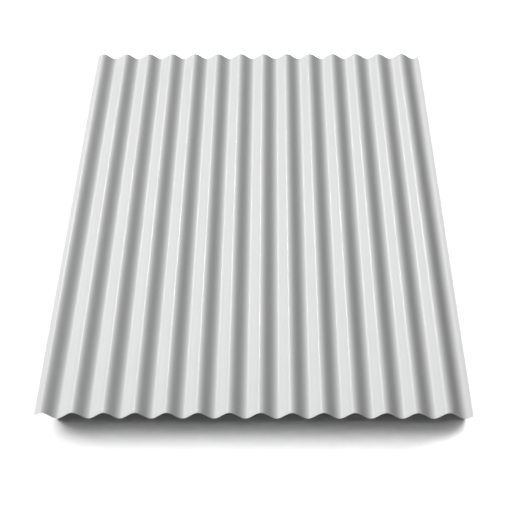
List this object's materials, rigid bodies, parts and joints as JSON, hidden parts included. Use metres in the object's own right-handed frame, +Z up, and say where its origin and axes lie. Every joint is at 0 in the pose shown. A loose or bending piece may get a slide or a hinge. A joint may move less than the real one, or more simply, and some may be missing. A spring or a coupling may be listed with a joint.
{
  "type": "corrugated metal sheet",
  "caption": "Rectangular roofing and cladding sheet of thin coated steel, roll-formed into even sine waves along its length, with square-cut ends and side edges trimmed to lap.",
  "frame": {"origin": "middle of the underside's bounding rectangle, level with the valleys' undersides", "axes": "+X across the waves towards the edge that the next sheet covers, +Y along the waves, +Z up out of the crests"},
  "size_m": [1.0624, 1.8, 0.0187],
  "materials": {
    "coated_steel": "satin"
  },
  "bodies": {
    "root": {"corrugated_sheet": "coated_steel"}
  },
  "joints": []
}
